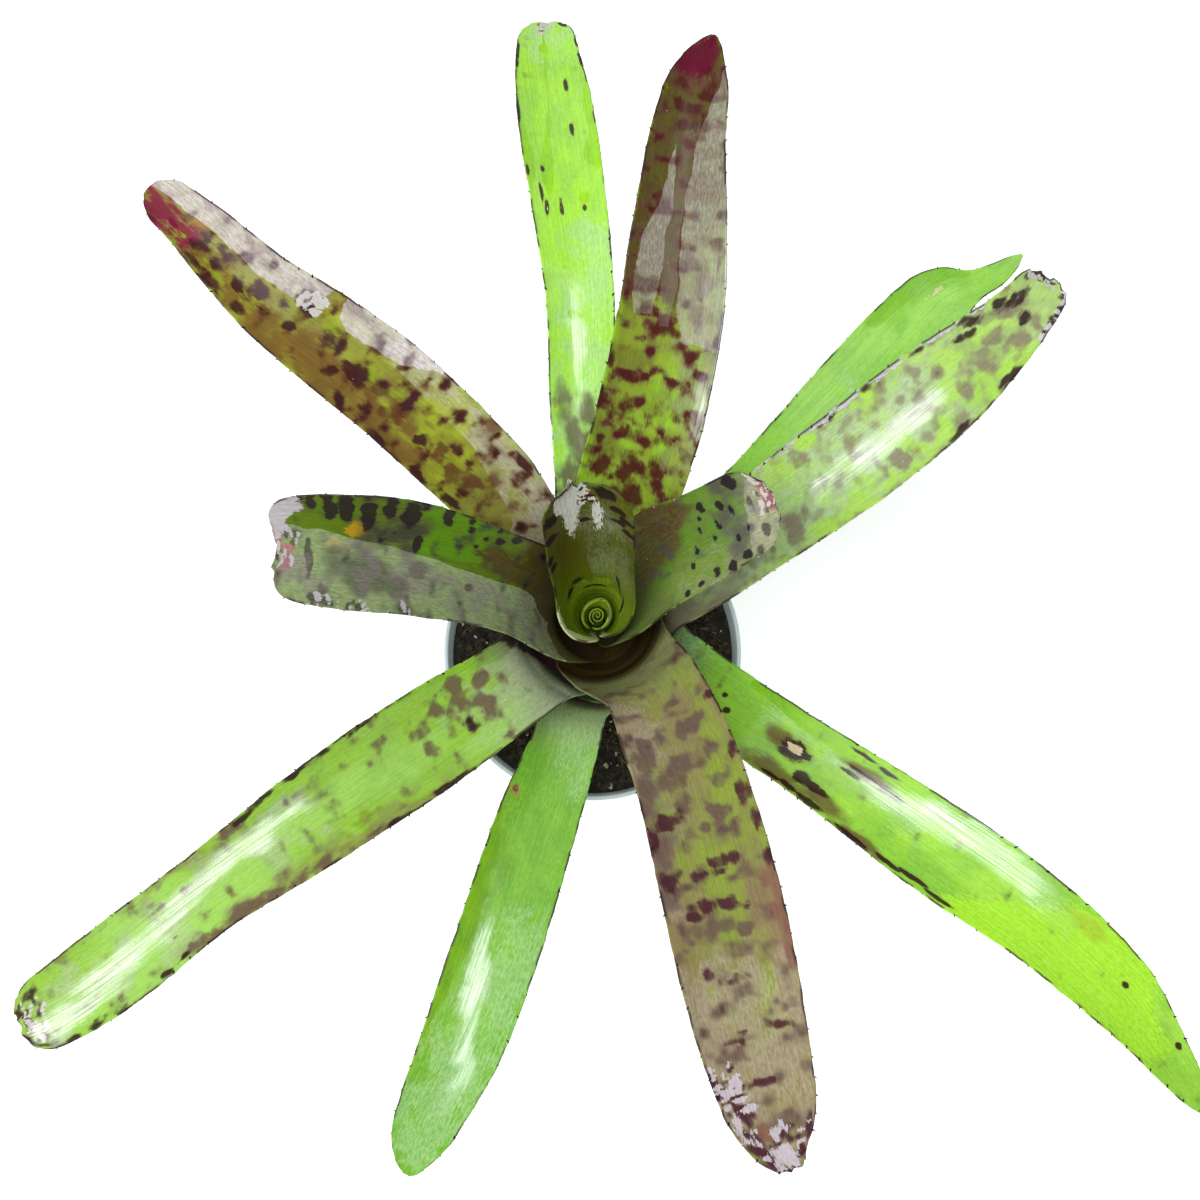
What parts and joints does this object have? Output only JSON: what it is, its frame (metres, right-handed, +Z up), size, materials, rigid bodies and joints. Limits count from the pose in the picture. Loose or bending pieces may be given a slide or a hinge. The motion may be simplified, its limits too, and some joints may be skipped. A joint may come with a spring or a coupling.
{
  "type": "potted tiger bromeliad",
  "caption": "Bromeliad with banded, spiny strap leaves in a rosette round an open cup, rooted in soil in a white plastic pot.",
  "frame": {"origin": "middle of the pot's underside, on the surface it stands on", "axes": "+Z up along the pot's axis, +X to the right and +Y to the back of the plant"},
  "size_m": [0.4035, 0.4385, 0.2211],
  "materials": {
    "pot": "satin",
    "soil": "matte",
    "stem": "matte",
    "leaf_lime": "satin",
    "leaf_green": "satin",
    "leaf_olive": "satin"
  },
  "bodies": {
    "root": {"pot": "pot", "soil": "soil", "stem": "stem", "spear": "leaf_lime", "leaf_cup": "leaf_olive", "leaf_short_right": "leaf_olive", "leaf_short_left": "leaf_olive", "leaf_banded_front": "leaf_olive", "leaf_spotted_back": "leaf_olive", "leaf_front_left": "leaf_green", "leaf_mottled_right": "leaf_green", "leaf_spotted_left": "leaf_olive", "leaf_glossy_right": "leaf_lime", "leaf_lime_back": "leaf_lime", "leaf_plain_front": "leaf_green", "leaf_plain_right": "leaf_green"}
  },
  "joints": []
}
